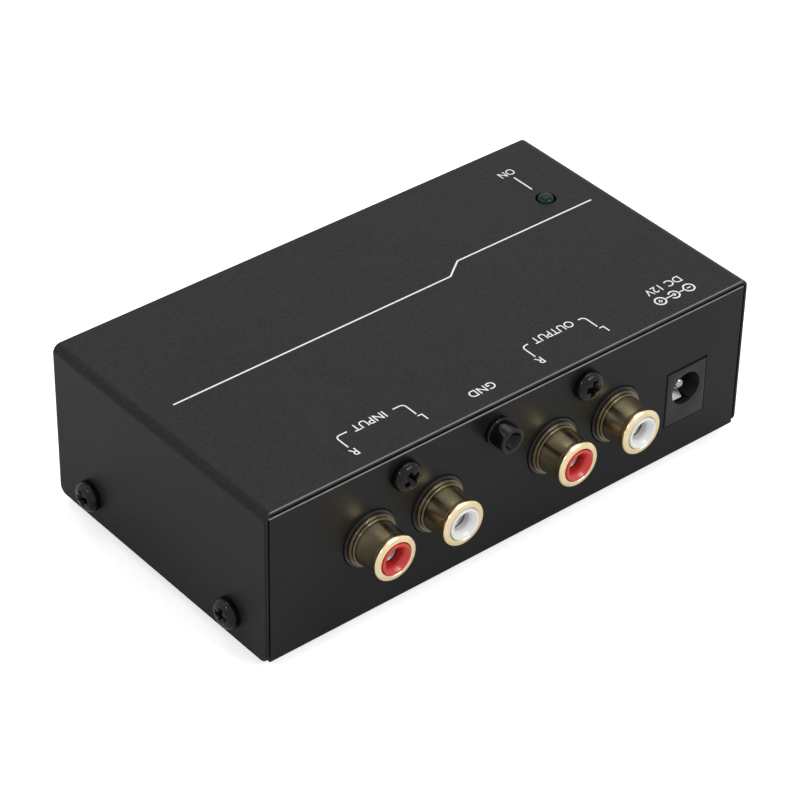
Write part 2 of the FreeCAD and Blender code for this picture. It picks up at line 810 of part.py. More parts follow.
def makeElectrolytics():
    members = [newCapacitor("supplyX", "bulkCapacitorY")]
    for channel in (-1, 1):
        for side in (-1, 1):
            x = f"{channel} * channelOffset + {side} * pairSpread / 2"
            members.append(newCapacitor(x, "electrolyticRowY"))
    return group("electrolytic_capacitors", members)


def makeFilmCapacitors():
    members = []
    for channel in (-1, 1):
        for side in (-1, 1):
            body = newBody("film")
            addBox(body, ("-filmLength / 2", "-filmWidth / 2", "0"),
                   ("filmLength", "filmWidth", "filmHeight"))
            moveTo(body, f"{channel} * channelOffset + {side} * pairSpread / 2", "filmRowY", "boardTop")
            members.append(body)
    return group("film_capacitors", members)


# An axial part: a barrel along Y held above the board by its lead and the lead's two feet
def newAxialPart(x, y):
    body = newBody("axial")
    axis = "resistorRadius + resistorRise"
    addRound(body, ("0", "-resistorLength / 2", axis), "resistorRadius", "resistorLength", towardsRear)
    addRound(body, ("0", "-resistorSpan / 2", axis), "resistorLeadRadius", "resistorSpan", towardsRear)
    for side in (-1, 1):
        end = f"{side} * (resistorSpan / 2 - resistorLeadRadius)"
        addRound(body, ("0", end, "0"), "leadFootRadius", axis)
    moveTo(body, x, y, "boardTop")
    return body


def makeResistors():
    members = []
    for channel in (-1, 1):
        for place in range(4):
            x = f"{channel} * channelOffset + {place - 1.5} * resistorPitch"
            members.append(newAxialPart(x, "resistorRowY"))
    return group("resistors", members)


def makePowerDiode():
    return group("power_diode", [newAxialPart("supplyX", "diodeY")])


def makeOpAmps():
    members = []
    for channel in (-1, 1):
        body = newBody("chip")
        addBox(body, ("-opAmpLength / 2", "-opAmpWidth / 2", "0"),
               ("opAmpLength", "opAmpWidth", "opAmpHeight"))
        moveTo(body, f"{channel} * channelOffset", "opAmpRowY", "opAmpLow")
        members.append(body)
    return group("op_amps", members)


def makeOpAmpLegs():
    members = []
    for channel in (-1, 1):
        for place in range(4):
            for side, start in ((-1, "-opAmpWidth / 2 - legThickness"), (1, "opAmpWidth / 2")):
                leg = newBody("leg")
                addBox(leg, ("-legWidth / 2", start, "0"), ("legWidth", "legThickness", "legShoulder"))
                x = f"{channel} * channelOffset + {place - 1.5} * legPitch"
                moveTo(leg, x, "opAmpRowY", "boardTop")
                members.append(leg)
    return group("op_amp_legs", members)


# Voltage regulator: moulded body with three legs, and a drilled metal tab behind it
def makeRegulatorBody():
    body = newBody("regulator_body")
    low = "boardTop + regulatorLegLength"
    addBox(body, ("-regulatorWidth / 2", "-regulatorThickness", low),
           ("regulatorWidth", "regulatorThickness", "regulatorHeight"))
    for place in (-1, 0, 1):
        addBox(body, (f"{place} * legPitch - legWidth / 2", "-regulatorThickness / 2", "boardTop"),
               ("legWidth", "legWidth", "regulatorLegLength"))
    return settle(body, "supplyX", "regulatorY")


def makeRegulatorTab():
    body = newBody("regulator_tab")
    low = "boardTop + regulatorLegLength"
    addBox(body, ("-regulatorWidth / 2", "0", low),
           ("regulatorWidth", "regulatorTabThickness", "regulatorTabHeight"))
    addRound(body, ("0", "-1", f"{low} + (regulatorTabHeight + regulatorHeight) / 2"), "regulatorTabHole",
             "regulatorTabThickness + 2", towardsRear, cut=True)
    return settle(body, "supplyX", "regulatorY")


# Lamp: domed body in the cover's hole, standing on a spacer tube with its two leads inside
def makePowerLamp():
    body = newBody("power_lamp")
    corners = [
        ("0", "0"),
        ("lampFlangeRadius", "0"),
        ("lampFlangeRadius", "lampFlangeHeight"),
        ("lampRadius", "lampFlangeHeight"),
        ("lampRadius", "lampLength"),
        ("0", "lampLength"),
    ]
    addTurned(body, corners)
    roundEdges(body, "lampDomeRounding", roundEdgeAt("lampRadius", "lampLength"))
    return settle(body, "lampX", "lampY", "lampBase")


def makeLampSpacer():
    body = newBody("lamp_spacer")
    addRound(body, ("0", "0", "boardTop"), "spacerRadius", "lampBase - boardTop")
    addRound(body, ("0", "0", "boardTop - 1"), "spacerBore", "lampBase - boardTop + 2", cut=True)
    return settle(body, "lampX", "lampY")


def makeLampLeads():
    members = []
    for side in (-1, 1):
        lead = newBody("lead")
        addRound(lead, ("0", "0", "0"), "lampLeadRadius", "lampBase - boardTop")
        moveTo(lead, f"lampX + {side} * lampLeadPitch / 2", "lampY", "boardTop")
        members.append(lead)
    return group("lamp_leads", members)


makeTopCover()
makeChassisTray()
makeRubberFeet()
makeCoverScrews()
makeSocketScrews()
makeBoardStandoffs()
makeBoardScrews()
makeMainBoard()
for pairName, pairX in (("input", "inputPairX"), ("output", "outputPairX")):
    makeSocketBlock(f"{pairName}_socket_block", pairX)
    for side, sideName in ((-1, "left"), (1, "right")):
        socketX = f"{pairX} + {side} * socketPitch / 2"
        makeSocketShell(f"{pairName}_{sideName}_shell", socketX)
        makeSocketInsert(f"{pairName}_{sideName}_insert", socketX)
        makeSocketContact(f"{pairName}_{sideName}_contact", socketX)
makeGroundPost()
makeGroundLug()
makeGroundLugScrew()
makeGroundWire()
makeJackBody()
makeJackPin()
makeSpringContact()
makeLeafTerminal()
makeElectrolytics()
makeFilmCapacitors()
makeResistors()
makePowerDiode()
makeOpAmps()
makeOpAmpLegs()
makeRegulatorBody()
makeRegulatorTab()
makePowerLamp()
makeLampSpacer()
makeLampLeads()
doc.recompute()

for item in doc.Objects:
    if "Invalid" in item.State or "Error" in item.State:
        raise RuntimeError(f"{item.Name} in {item.Label} did not build: {item.State}")
for part in parts:
    if part.Shape.isNull() or not part.Shape.isValid() or not part.Shape.Solids:
        raise RuntimeError(f"{part.Label} has no valid solid")

os.makedirs("parts", exist_ok=True)
for part in parts:
    part.Shape.exportStep(f"parts/{part.Label}.step")
    print(part.Label, len(part.Shape.Solids), round(part.Shape.Volume, 2))
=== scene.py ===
# Small phono preamplifier in a folded, powder-coated case: finishes, fine detail, light and camera
import bmesh
import bpy
import math
from mathutils import Matrix, Vector


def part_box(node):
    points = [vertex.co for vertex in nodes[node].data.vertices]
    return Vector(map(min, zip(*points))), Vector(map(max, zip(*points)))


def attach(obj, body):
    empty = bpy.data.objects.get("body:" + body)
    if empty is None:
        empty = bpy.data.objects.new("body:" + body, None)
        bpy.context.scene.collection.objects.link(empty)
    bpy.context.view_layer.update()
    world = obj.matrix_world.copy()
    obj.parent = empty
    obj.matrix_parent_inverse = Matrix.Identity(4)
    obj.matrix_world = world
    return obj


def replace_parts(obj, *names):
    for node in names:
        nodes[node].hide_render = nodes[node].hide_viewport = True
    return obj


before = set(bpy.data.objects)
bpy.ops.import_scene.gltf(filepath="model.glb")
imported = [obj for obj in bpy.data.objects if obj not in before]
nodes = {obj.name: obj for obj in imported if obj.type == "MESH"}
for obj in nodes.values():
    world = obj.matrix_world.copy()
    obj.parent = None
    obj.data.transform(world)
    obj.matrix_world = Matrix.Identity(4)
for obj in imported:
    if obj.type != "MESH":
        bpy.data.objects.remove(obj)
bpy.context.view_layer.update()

mm = 0.001
hair = 1e-6       # a length too small to matter
samePoint = 1e-7  # points closer than this are one
scene = bpy.context.scene
scene.view_settings.view_transform = "Standard"
print("frame loaded,", len(nodes), "nodes")

# Places taken from the frame
trayLow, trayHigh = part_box("chassis_tray")
caseMiddle = (trayLow + trayHigh) / 2
rearFace = trayHigh.y
rearward = (0, 1, 0)
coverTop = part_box("top_cover")[1].z


# A node socket that takes part in Python sums
class Value:
    def __init__(self, maker, socket):
        self.maker = maker
        self.socket = socket

    def maths(self, operation, *others):
        return self.maker.add("ShaderNodeMath", {"operation": operation}, dict(enumerate((self, *others))))

    def __add__(self, other):
        return self.maths("ADD", other)

    def __sub__(self, other):
        return self.maths("SUBTRACT", other)

    def __rsub__(self, other):
        return self.maker.add("ShaderNodeMath", {"operation": "SUBTRACT"}, {0: other, 1: self})

    def __mul__(self, other):
        return self.maths("MULTIPLY", other)

    __radd__ = __add__
    __rmul__ = __mul__

    def between(self, low, high):
        settings = {"interpolation_type": "SMOOTHSTEP"}
        inputs = {"Value": self, "From Min": low, "From Max": high}
        return self.maker.add("ShaderNodeMapRange", settings, inputs)


# Adds nodes to one tree. Settings go first, then the values or links of the sockets.
class NodeMaker:
    def __init__(self, tree):
        self.tree = tree

    def add(self, kind, settings, inputs, output=0):
        node = self.tree.nodes.new(kind)
        for key, value in settings.items():
            setattr(node, key, value)
        for key, value in inputs.items():
            if isinstance(value, Value):
                self.tree.links.new(value.socket, node.inputs[key])
            else:
                node.inputs[key].default_value = value
        return Value(self, node.outputs[output])


# One procedural material. Constants go straight on the shader's own sockets.
class Finish(NodeMaker):
    def __init__(self, name, color, roughness, **fixed):
        self.material = bpy.data.materials.new(name)
        self.material.use_nodes = True
        self.material.diffuse_color = (*color, 1)
        super().__init__(self.material.node_tree)
        self.shader = self.tree.nodes["Principled BSDF"]
        self.shader.inputs["Base Color"].default_value = (*color, 1)
        self.shader.inputs["Roughness"].default_value = roughness
        for key, value in fixed.items():
            self.shader.inputs[key.replace("_", " ")].default_value = value
        self.place = self.add("ShaderNodeTexCoord", {}, {}, "Object")

    def noise(self, size, detail=2.0, roughness=0.5, place=None):
        inputs = {"Vector": place or self.place, "Scale": 1 / size, "Detail": detail, "Roughness": roughness}
        return self.add("ShaderNodeTexNoise", {}, inputs)

    def cells(self, size, place):
        return self.add("ShaderNodeTexVoronoi", {}, {"Vector": place, "Scale": 1 / size})

    def along(self, axis):
        return self.add("ShaderNodeSeparateXYZ", {}, {0: self.place}, axis)

    def stretched(self, x, y, z):
        return self.add("ShaderNodeVectorMath", {"operation": "MULTIPLY"}, {0: self.place, 1: (x, y, z)})

    def mixed(self, factor, first, second):
        colors = [color if isinstance(color, Value) else (*color, 1) for color in (first, second)]
        inputs = {0: factor, 6: colors[0], 7: colors[1]}  # sockets 6 and 7 are the two colours
        return self.add("ShaderNodeMix", {"data_type": "RGBA"}, inputs, 2)  # output 2 is their mix

    def feed(self, **links):
        for key, value in links.items():
            self.tree.links.new(value.socket, self.shader.inputs[key.replace("_", " ")])

    def bump(self, height, depth, strength=1.0):
        inputs = {"Height": height, "Distance": depth, "Strength": strength}
        self.feed(Normal=self.add("ShaderNodeBump", {}, inputs))


# A colour made deeper or paler by one factor
def shaded(color, factor):
    return tuple(factor * part for part in color)


# Black powder coat. The cover has a coarser, rougher skin than the tray.
# Along the upper edges at the front and rear its colour is paler, in patches: a painted highlight.
coats = {
    "coverCoat": dict(
        color=(0.0105, 0.0106, 0.011), roughness=0.4, specular=0.13, grain=0.4 * mm, depth=0.05 * mm,
        speckle=0.6, edge=(0.24, 0.24, 0.245), highlightTop=coverTop,
    ),
    "trayCoat": dict(
        color=(0.0096, 0.0097, 0.0101), roughness=0.34, specular=0.16, grain=0.5 * mm, depth=0.003 * mm,
        speckle=0.06, edge=(0.48, 0.48, 0.49), highlightTop=trayHigh.z,
    ),
}
coating = dict(
    coarseShare=0.7, fineness=3, cloudSize=14 * mm, cloudShare=0.12, deep=0.7, pale=1.9, roughnessSpread=0.1,
    highlightOuter=0.06 * mm, highlightInner=0.28 * mm, highlightPatchSize=2.5 * mm, highlightPatchShare=0.3,
)


def makePowderCoat(name):
    coat = coats[name]
    look = Finish(name, coat["color"], coat["roughness"], Specular_IOR_Level=coat["specular"])
    grain = look.noise(coat["grain"], 2.0, 0.6)
    fine = look.noise(coat["grain"] / coating["fineness"], 1.0)
    coarseShare = coating["coarseShare"]
    look.bump(grain * coarseShare + fine * (1 - coarseShare), coat["depth"])
    look.feed(Roughness=coat["roughness"] + (grain - 0.5) * coating["roughnessSpread"])
    cloud = look.noise(coating["cloudSize"], 3.0)
    speckle = grain.between(0.35, 0.65) * coat["speckle"] + cloud.between(0.3, 0.7) * coating["cloudShare"]
    base = look.mixed(speckle, shaded(coat["color"], coating["deep"]), shaded(coat["color"], coating["pale"]))
    # The edge colour is a painted highlight along the upper front and rear edges, broken into patches by
    # noise
    inner = coating["highlightInner"]
    outer = coating["highlightOuter"]
    half = (trayHigh.y - trayLow.y) / 2
    fromMiddle = (look.along("Y") - caseMiddle.y).maths("ABSOLUTE")
    atFace = fromMiddle.between(half - inner, half - outer)
    atTop = look.along("Z").between(coat["highlightTop"] - inner, coat["highlightTop"] - outer)
    highlightPatchShare = coating["highlightPatchShare"]
    patchy = look.noise(coating["highlightPatchSize"], 3.0).between(0.2, 0.7) * highlightPatchShare + (1 - highlightPatchShare)
    look.feed(Base_Color=look.mixed(atFace * atTop * patchy, base, coat["edge"]))
    return look.material


# Glossy black oxide on the screws and the ground post
def makeScrewBlack():
    look = Finish("screwBlack", (0.005, 0.005, 0.0055), 0.12, Specular_IOR_Level=0.24)
    wear = look.noise(0.7 * mm, 3.0)
    look.feed(Roughness=0.07 + wear * 0.1)
    look.feed(Base_Color=look.mixed(wear.between(0.5, 0.75), (0.003, 0.003, 0.0035), (0.008, 0.008, 0.009)))
    look.bump(look.noise(0.16 * mm), 0.004 * mm)
    return look.material


# Thin gold plate on turned brass: faint tool rings round the axis, and cloudy patches of haze.
# Its colour is darker round the foot of the barrel: painted shade by the flange and step.
goldPlate = dict(
    color=(0.92, 0.78, 0.51), roughness=0.18, haze=(0.94, 0.9, 0.8), hazeSize=1.7 * mm, ringSize=0.06 * mm,
    ringDepth=0.0015 * mm, footShade=0.2, footShadeStart=1.35 * mm, footShadeEnd=2.3 * mm,
)


def makeGold():
    color = goldPlate["color"]
    roughness = goldPlate["roughness"]
    look = Finish("socketGold", color, roughness, Metallic=1.0)
    haze = look.noise(goldPlate["hazeSize"], 3.0)
    look.feed(Roughness=roughness * 0.8 + haze * roughness * 0.4)
    hazy = tuple(share * part for share, part in zip(goldPlate["haze"], color))
    plate = look.mixed(haze.between(0.3, 0.7), color, hazy)
    # Painted shade: the base colour darkens towards the foot of the barrel
    unshaded = look.along("Y").between(rearFace + goldPlate["footShadeStart"], rearFace + goldPlate["footShadeEnd"])
    look.feed(Base_Color=look.mixed(unshaded, shaded(color, goldPlate["footShade"]), plate))
    rings = look.noise(goldPlate["ringSize"], 1.0, 0.5, look.stretched(0.02, 1.0, 0.02))
    look.bump(rings, goldPlate["ringDepth"])
    return look.material


def makePlated(name, color, roughness):
    look = Finish(name, color, roughness, Metallic=1.0)
    haze = look.noise(1.2 * mm, 3.0)
    look.feed(Base_Color=look.mixed(haze.between(0.35, 0.65), color, shaded(color, 0.9)))
    look.feed(Roughness=roughness * 0.7 + haze * roughness * 0.6)
    look.bump(look.noise(0.1 * mm, 2.0), 0.001 * mm)
    return look.material


def makePlastic(name, color, roughness, grain=0.15 * mm, depth=0.003 * mm, shade=0.88, **fixed):
    look = Finish(name, color, roughness, **fixed)
    flow = look.noise(3.5 * mm, 2.0)
    look.feed(Base_Color=look.mixed(flow.between(0.3, 0.75), color, shaded(color, shade)))
    look.feed(Roughness=roughness * 0.85 + flow * roughness * 0.3)
    look.bump(look.noise(grain, 2.0), depth)
    return look.material


# Solder mask over copper tracks
def makeBoard():
    look = Finish("boardGreen", (0.012, 0.09, 0.035), 0.3, Coat_Weight=0.4, Coat_Roughness=0.15)
    tracks = look.cells(3.1 * mm, look.stretched(1.0, 1.0, 0.0)).between(0.42, 0.46)
    look.feed(Base_Color=look.mixed(tracks, (0.02, 0.13, 0.05), (0.01, 0.075, 0.03)))
    look.bump(tracks, 0.03 * mm, 0.6)
    return look.material


# White screen print, a little thin in places
def makePrint():
    look = Finish("whitePrint", (0.8, 0.8, 0.8), 0.5)
    patchy = look.noise(0.35 * mm, 3.0)
    look.feed(Base_Color=look.mixed(patchy.between(0.2, 0.5), (0.64, 0.64, 0.64), (0.84, 0.84, 0.84)))
    look.feed(Roughness=0.42 + patchy * 0.2)
    look.bump(look.noise(0.1 * mm), 0.002 * mm)
    return look.material


# Deep green resin of an unlit lamp: nearly black inside, with a glassy skin
def makeLampGreen():
    look = Finish("lampGreen", (0.001, 0.014, 0.009), 0.08, Specular_IOR_Level=0.18)
    depth = look.noise(0.9 * mm, 2.0)
    look.feed(Base_Color=look.mixed(depth.between(0.3, 0.7), (0.0005, 0.008, 0.005), (0.001, 0.022, 0.014)))
    look.feed(Roughness=0.05 + depth * 0.04)
    return look.material


insertSkin = dict(Coat_Weight=0.3, Coat_Roughness=0.12)
finishes = {
    "cover": makePowderCoat("coverCoat"),
    "tray": makePowderCoat("trayCoat"),
    "screw": makeScrewBlack(),
    "gold": makeGold(),
    "steel": makePlated("platedSteel", (0.62, 0.62, 0.6), 0.3),
    "tin": makePlated("contactTin", (0.3, 0.28, 0.25), 0.45),
    "bright": makePlated("brightContact", (0.42, 0.42, 0.41), 0.16),
    "white": makePlastic("insertWhite", (0.82, 0.82, 0.82), 0.32, shade=0.95, **insertSkin),
    "red": makePlastic("insertRed", (0.62, 0.022, 0.018), 0.3, **insertSkin),
    "block": makePlastic("socketPlastic", (0.022, 0.022, 0.024), 0.34),
    "jack": makePlastic("jackPlastic", (0.016, 0.016, 0.0175), 0.42, Specular_IOR_Level=0.3),
    "rubber": makePlastic("footRubber", (0.02, 0.02, 0.02), 0.75, 0.3 * mm, 0.02 * mm),
    "board": makeBoard(),
    "wire": makePlastic("wireGreen", (0.06, 0.3, 0.05), 0.45),
    "sleeve": makePlastic("capacitorSleeve", (0.012, 0.02, 0.05), 0.3),
    "film": makePlastic("filmCase", (0.45, 0.06, 0.03), 0.35),
    "lacquer": makePlastic("resistorBody", (0.16, 0.33, 0.5), 0.4),
    "epoxy": makePlastic("chipPlastic", (0.022, 0.022, 0.024), 0.5),
    "nylon": makePlastic("spacerNylon", (0.75, 0.74, 0.7), 0.4),
    "lamp": makeLampGreen(),
    "print": makePrint(),
}
sockets = [f"{pair}_{side}" for pair in ("input", "output") for side in ("left", "right")]
dressed = {
    "cover": ["top_cover"],
    "tray": ["chassis_tray"],
    "rubber": ["rubber_feet"],
    "steel": ["board_standoffs", "board_screws", "ground_lug", "ground_lug_screw", "regulator_tab"],
    "board": ["main_board"],
    "block": ["input_socket_block", "output_socket_block"],
    "tin": [f"{socket}_contact" for socket in sockets],
    "gold": [f"{socket}_shell" for socket in sockets],
    "white": ["input_left_insert", "output_left_insert"],
    "red": ["input_right_insert", "output_right_insert"],
    "screw": ["cover_screws", "socket_screws", "ground_post"],
    "jack": ["dc_jack_body"],
    "bright": ["dc_centre_pin", "dc_spring_contact", "dc_leaf_terminal", "op_amp_legs", "lamp_leads"],
    "wire": ["ground_wire"],
    "sleeve": ["electrolytic_capacitors"],
    "film": ["film_capacitors"],
    "lacquer": ["resistors"],
    "epoxy": ["power_diode", "op_amps", "regulator_body"],
    "lamp": ["power_lamp"],
    "nylon": ["lamp_spacer"],
}
for look, names in dressed.items():
    for name in names:
        mesh = nodes[name].data
        mesh.materials.clear()
        mesh.materials.append(finishes[look])
print("finishes made:", len(finishes))


def lowOf(name):
    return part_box(name)[0]


def middleOf(name):
    low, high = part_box(name)
    return (low + high) / 2


# A matrix that stands local Z along an axis, then spins about it
def facing(place, axis, spin=0.0):
    turn = Vector(axis).to_track_quat("Z", "Y").to_matrix().to_4x4()
    return Matrix.Translation(place) @ turn @ Matrix.Rotation(math.radians(spin), 4, "Z")


# Faces that meet at more than this angle, in degrees, keep a sharp edge between them
def finishPiece(mesh, name, look, sharpAngle=35):
    piece = bpy.data.objects.new(name, mesh)
    scene.collection.objects.link(piece)
    mesh.materials.clear()
    mesh.materials.append(finishes[look])
    for face in mesh.polygons:
        face.use_smooth = True
    mesh.set_sharp_from_angle(angle=math.radians(sharpAngle))
    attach(piece, "root")
    return piece


# Rounds the corners of an outline. A corner's own radius comes third.
def rounded(corners, steps=5):
    outline = []
    count = len(corners)
    for place, corner in enumerate(corners):
        point = Vector(corner[:2])
        size = corner[2] if len(corner) > 2 else 0
        if size == 0:
            outline.append(point)
            continue
        before = (Vector(corners[place - 1][:2]) - point).normalized()
        after = (Vector(corners[(place + 1) % count][:2]) - point).normalized()
        half = before.angle(after) / 2
        reach = size / math.tan(half)
        middle = point + (before + after).normalized() * size / math.sin(half)
        start = point + before * reach - middle
        end = point + after * reach - middle
        for step in range(steps + 1):
            outline.append(middle + size * start.slerp(end, step / steps))
    return outline


# Spins an outline of (radius, height), in millimetres, about local Z. Points on the axis close it there.
def spun(outline, around=96, closed=True):
    work = bmesh.new()
    rings = []
    for radius, height in outline:
        if radius < hair:
            rings.append([work.verts.new((0, 0, height * mm))])
            continue
        ring = []
        for step in range(around):
            turn = 2 * math.pi * step / around
            spot = (radius * mm * math.cos(turn), radius * mm * math.sin(turn), height * mm)
            ring.append(work.verts.new(spot))
        rings.append(ring)
    pairs = list(zip(rings, rings[1:]))
    if closed:
        pairs.append((rings[-1], rings[0]))
    for low, high in pairs:
        if len(low) == len(high) == 1:
            continue
        for step in range(around):
            following = (step + 1) % around
            if len(low) == 1:
                work.faces.new((low[0], high[following], high[step]))
            elif len(high) == 1:
                work.faces.new((low[step], low[following], high[0]))
            else:
                work.faces.new((low[step], low[following], high[following], high[step]))
    bmesh.ops.recalc_face_normals(work, faces=work.faces)
    return work


# A six-sided block in millimetres that may taper towards its low end
def addBlock(work, low, high, lowShare=1.0):
    corners = []
    middle = [(low[axis] + high[axis]) / 2 for axis in (0, 1)]
    for height, share in ((low[2], lowShare), (high[2], 1.0)):
        for x, y in ((low[0], low[1]), (high[0], low[1]), (high[0], high[1]), (low[0], high[1])):
            spot = (middle[0] + (x - middle[0]) * share, middle[1] + (y - middle[1]) * share, height)
            corners.append(work.verts.new([part * mm for part in spot]))
    for loop in ((3, 2, 1, 0), (4, 5, 6, 7), (0, 1, 5, 4), (1, 2, 6, 5), (2, 3, 7, 6), (3, 0, 4, 7)):
        work.faces.new([corners[corner] for corner in loop])


def asMesh(work, name, matrix=None):
    mesh = bpy.data.meshes.new(name)
    work.to_mesh(mesh)
    work.free()
    if matrix:
        mesh.transform(matrix)
    return mesh


def joined(meshes, name):
    work = bmesh.new()
    for mesh in meshes:
        work.from_mesh(mesh)
    return asMesh(work, name)


# The mesh that an object's modifiers or text leave, once the object is gone
def settled(holder):
    bpy.context.view_layer.update()
    mesh = bpy.data.meshes.new_from_object(holder.evaluated_get(bpy.context.evaluated_depsgraph_get()))
    bpy.data.objects.remove(holder)
    return mesh


def modified(mesh, modifiers):
    holder = bpy.data.objects.new("holder", mesh)
    scene.collection.objects.link(holder)
    for kind, settings in modifiers:
        modifier = holder.modifiers.new(kind, kind)
        for key, value in settings.items():
            setattr(modifier, key, value)
    return settled(holder)


# A bevel of a piece's own width along the edges where faces meet at more than this angle, in degrees
bevelAngle = 40


def bevel(piece):
    settings = {"width": piece["edge"] * mm, "segments": piece["edgeSteps"], "limit_method": "ANGLE",
                "angle_limit": math.radians(bevelAngle)}
    return ("BEVEL", settings)


# Solder tab that hangs from a socket's shell or contact, at the rear end of the node
tab = dict(width=1.6, thickness=0.5)


def makeTab(low, middle, top):
    work = bmesh.new()
    half = tab["width"] / 2
    across = middle.x / mm
    back = low.y / mm
    addBlock(work, (across - half, back, low.z / mm), (across + half, back + tab["thickness"], top))
    return asMesh(work, "tab")


# Phono socket shell: flange, step, tapering barrel, flared rim with a coned face.
# Each reach is from the rear panel.
shell = dict(
    bore=3.0, tail=3.4, collarReach=0.3, flange=4.85, flangeReach=0.92, step=4.5, stepReach=1.42,
    barrel=4.24, waist=3.98, waistReach=5.5, rim=4.19, rimStart=5.95, rimEnd=6.72,
    faceRadius=3.2, faceReach=6.95, lipDrop=0.25, flangeSeat=0.06, stepSeat=0.04,
    edge=0.1, ringEdge=0.08, stepEdge=0.07, waistRound=0.5, rimFoot=0.15, rimRound=0.42, faceRound=0.2,
    boreEdge=0.05, sides=128,
)


def makeShell(socket):
    node = f"{socket}_shell"
    low = lowOf(node)
    middle = middleOf(f"{socket}_insert")
    tailEnd = (low.y - rearFace) / mm
    outline = rounded([
        (shell["bore"], tailEnd),
        (shell["tail"], tailEnd, shell["edge"]),
        (shell["tail"], shell["collarReach"]),
        (shell["flange"], shell["collarReach"], shell["edge"]),
        (shell["flange"], shell["flangeReach"], shell["ringEdge"]),
        (shell["step"], shell["flangeReach"] - shell["flangeSeat"], shell["flangeSeat"]),
        (shell["step"], shell["stepReach"], shell["stepEdge"]),
        (shell["barrel"], shell["stepReach"] - shell["stepSeat"], shell["ringEdge"]),
        (shell["waist"], shell["waistReach"], shell["waistRound"]),
        (shell["rim"], shell["rimStart"], shell["rimFoot"]),
        (shell["rim"], shell["rimEnd"], shell["rimRound"]),
        (shell["faceRadius"], shell["faceReach"], shell["faceRound"]),
        (shell["bore"], shell["faceReach"] - shell["lipDrop"], shell["boreEdge"]),
    ])
    place = facing((middle.x, rearFace, middle.z), rearward)
    barrel = asMesh(spun(outline, shell["sides"]), "barrel", place)
    top = middle.z / mm - (shell["bore"] + shell["tail"]) / 2
    mesh = joined([barrel, makeTab(low, middle, top)], "shell")
    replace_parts(finishPiece(mesh, f"{node}_turned", "gold"), node)


# Insert: sleeve with a rolled front edge and a soft dish down to the pin's hole
insert = dict(
    radius=2.93, rearBore=2.2, reach=7.1, land=2.5, dishRadius=1.95, dishDepth=0.6, hole=1.68, mouthDepth=1.1,
    holeDepth=2.2, rearEdge=0.1, frontEdge=0.22, landRound=0.35, dishRound=0.7, mouthRound=0.4, sides=112,
)


def makeInsert(socket, look):
    node = f"{socket}_insert"
    middle = middleOf(node)
    rearEnd = (lowOf(node).y - rearFace) / mm
    front = insert["reach"]
    outline = rounded([
        (insert["rearBore"], rearEnd),
        (insert["radius"], rearEnd, insert["rearEdge"]),
        (insert["radius"], front, insert["frontEdge"]),
        (insert["land"], front, insert["landRound"]),
        (insert["dishRadius"], front - insert["dishDepth"], insert["dishRound"]),
        (insert["hole"], front - insert["mouthDepth"], insert["mouthRound"]),
        (insert["hole"], front - insert["holeDepth"]),
        (insert["rearBore"], front - insert["holeDepth"]),
    ])
    place = facing((middle.x, rearFace, middle.z), rearward)
    mesh = asMesh(spun(outline, insert["sides"]), "insert", place)
    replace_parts(finishPiece(mesh, f"{node}_moulded", look), node)


# Centre contact: a tinned sleeve whose spring fingers close in behind the insert's hole, with a solder tab
contact = dict(
    radius=2.1, bore=1.6, front=4.6, mouth=1.75, throat=0.5, throatReach=3.0, wall=0.25,
    edge=0.1, tipRound=0.15, throatRound=0.2, sides=64,
)


def makeContact(socket):
    node = f"{socket}_contact"
    low = lowOf(node)
    middle = middleOf(f"{socket}_insert")
    rearEnd = (low.y - rearFace) / mm
    outline = rounded([
        (contact["bore"], rearEnd),
        (contact["radius"], rearEnd, contact["edge"]),
        (contact["radius"], contact["front"], contact["tipRound"]),
        (contact["mouth"], contact["front"], contact["edge"]),
        (contact["throat"], contact["throatReach"], contact["throatRound"]),
        (contact["throat"], contact["throatReach"] - contact["wall"]),
        (contact["bore"], contact["front"] - 2 * contact["wall"]),
    ])
    place = facing((middle.x, rearFace, middle.z), rearward)
    sleeve = asMesh(spun(outline, contact["sides"]), "sleeve", place)
    top = middle.z / mm - (contact["bore"] + contact["radius"]) / 2
    mesh = joined([sleeve, makeTab(low, middle, top)], "contact")
    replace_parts(finishPiece(mesh, f"{node}_sprung", "tin"), node)


for socket in sockets:
    makeShell(socket)
    makeContact(socket)
    makeInsert(socket, "white" if "left" in socket else "red")
print("phono sockets made:", len(sockets))

# Pan head screw with a cross recess that narrows downwards, and a threaded shank
screw = dict(
    head=2.8, height=2.2, shoulder=1.25, crown=0.5, underside=0.12, shank=1.43, tip=0.3, groove=0.22,
    pitch=0.5, recessSpan=3.7, recessWidth=1.3, recessDepth=1.7, recessTaper=0.5, recessOver=0.3,
    edge=0.08, edgeSteps=2, roundSteps=7, sides=72,
)
# Each run is a row of screws along one axis of the case. Spins, in degrees, are how they happened to stop.
screwRuns = [
    dict(node="cover_screws", onEnds=True, length=2.8, spins=(14, -3, 31, 9)),
    dict(node="socket_screws", onEnds=False, length=7.0, spins=(-12, 24)),
]


# A ridge and a groove for each turn of a thread. A negative groove cuts outwards, for a tapped hole.
def threadOutline(radius, groove, pitch, start, end):
    outline = []
    turns = int(abs(end - start) / pitch)
    for turn in range(turns):
        height = start + (end - start) * turn / turns
        outline.append((radius - groove, height))
        outline.append((radius, height + (end - start) / turns / 2))
    return outline


